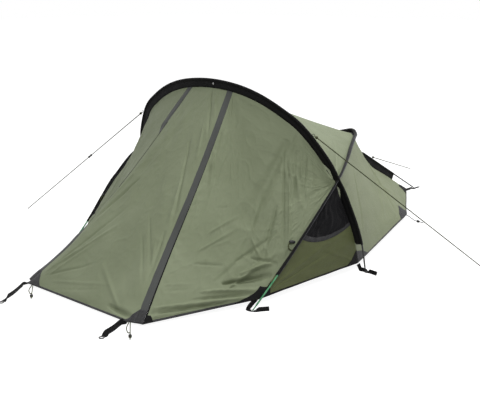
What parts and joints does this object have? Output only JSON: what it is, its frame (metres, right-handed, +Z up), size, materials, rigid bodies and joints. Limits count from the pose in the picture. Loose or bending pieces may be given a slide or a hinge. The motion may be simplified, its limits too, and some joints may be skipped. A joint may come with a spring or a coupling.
{
  "type": "two-person tent",
  "caption": "Low hooped tent with a tapering tail, a closed flysheet with zipped door flaps, mesh vents, peg straps and guylines, over an inner tent.",
  "frame": {"origin": "centre of the tent's footprint, without its free cords, on the ground", "axes": "+X towards the tail pole, -Y the near side of the picture, +Z up"},
  "size_m": [4.0858, 2.9969, 1.0095],
  "materials": {
    "canopy": "matte coated nylon",
    "canopy_rear": "matte coated nylon",
    "side_cloth": "matte coated nylon",
    "mesh_cloth": "open mesh",
    "strip_cloth": "matte",
    "black_tape": "woven webbing",
    "grey_tape": "woven tape",
    "pole_black": "anodised",
    "pole_green": "anodised",
    "ring_metal": "polished",
    "black_plastic": "moulded",
    "guyline": "braided cord",
    "inner_cloth": "breathable nylon",
    "floor_cloth": "coated nylon"
  },
  "bodies": {
    "tent": {"door_quarter_far": "canopy", "door_quarter_near": "canopy", "front_cord_far": "black_tape", "front_cord_near": "black_tape", "front_panel": "canopy", "front_ring_far": "ring_metal", "front_ring_near": "ring_metal", "front_strap_far": "black_tape", "front_strap_near": "black_tape", "groundsheet": "floor_cloth", "guyline_far": "guyline", "guyline_far_ring": "black_tape", "guyline_near": "guyline", "guyline_near_ring": "black_tape", "guyline_tail": "guyline", "guyline_tail_ring": "black_tape", "hanger_front": "grey_tape", "hanger_rear": "grey_tape", "inner_tent": "inner_cloth", "main_fin_far": "black_tape", "main_fin_near": "black_tape", "main_foot_ring_far": "ring_metal", "main_foot_ring_near": "ring_metal", "main_foot_strap_far": "black_tape", "main_foot_strap_near": "black_tape", "main_hoop_pole": "pole_black", "main_sleeve": "black_tape", "rear_fin_far": "grey_tape", "rear_fin_near": "grey_tape", "rear_flank_far": "canopy_rear", "rear_flank_near": "canopy_rear", "rear_foot_strap_far": "black_tape", "rear_foot_strap_near": "black_tape", "rear_hoop_pole": "pole_green", "rear_sleeve": "grey_tape", "roof_panel_far": "canopy", "roof_panel_near": "canopy", "side_cord_far": "black_tape", "side_cord_near": "black_tape", "side_skirt_far": "side_cloth", "side_skirt_near": "side_cloth", "tail_fin": "black_tape", "tail_panel_far": "canopy_rear", "tail_panel_near": "canopy_rear", "tail_pole": "pole_black", "tail_strap": "black_tape", "vent_panel_far": "mesh_cloth", "vent_panel_near": "mesh_cloth", "zip_strip_far": "strip_cloth", "zip_strip_near": "strip_cloth"},
    "door_near": {"door_flap_near": "canopy"},
    "door_far": {"door_flap_far": "canopy"},
    "slider_near": {"zip_slider_near": "black_plastic"},
    "slider_far": {"zip_slider_far": "black_plastic"},
    "runner": {"line_runner": "black_plastic"},
    "lock_front_near": {"front_cord_near_lock": "black_plastic"},
    "lock_front_far": {"front_cord_far_lock": "black_plastic"},
    "lock_side_near": {"side_cord_near_lock": "black_plastic"},
    "lock_side_far": {"side_cord_far_lock": "black_plastic"}
  },
  "joints": [
    {"name": "door_near_fold", "type": "hinge", "parent": "tent", "child": "door_near", "pos_m": [-1.02359, -0.68019, 0.03671], "axis": [0.4038, 0.4493, 0.7969], "range_deg": [0, 120]},
    {"name": "door_far_fold", "type": "hinge", "parent": "tent", "child": "door_far", "pos_m": [-1.02177, 0.67643, 0.03674], "axis": [-0.4031, 0.447, -0.7986], "range_deg": [0, 120]},
    {"name": "zip_near_slide", "type": "slide", "parent": "tent", "child": "slider_near", "axis": [0.6931, 0.2226, 0.6856], "range_m": [0, 1.27]},
    {"name": "zip_far_slide", "type": "slide", "parent": "tent", "child": "slider_far", "axis": [0.6927, -0.191, 0.6954], "range_m": [0, 1.25]},
    {"name": "runner_slide", "type": "slide", "parent": "tent", "child": "runner", "axis": [-0.1165, 0.8076, -0.5781], "range_m": [-0.35, 0.35]},
    {"name": "lock_front_near_slide", "type": "slide", "parent": "tent", "child": "lock_front_near", "axis": [-0.6583, -0.7528, 0], "range_m": [-0.02, 0.02]},
    {"name": "lock_front_far_slide", "type": "slide", "parent": "tent", "child": "lock_front_far", "axis": [-0.604, -0.797, 0], "range_m": [-0.02, 0.02]},
    {"name": "lock_side_near_slide", "type": "slide", "parent": "tent", "child": "lock_side_near", "axis": [-0.2169, -0.9762, 0], "range_m": [-0.02, 0.02]},
    {"name": "lock_side_far_slide", "type": "slide", "parent": "tent", "child": "lock_side_far", "axis": [-0.2169, 0.9762, 0], "range_m": [-0.02, 0.02]}
  ]
}
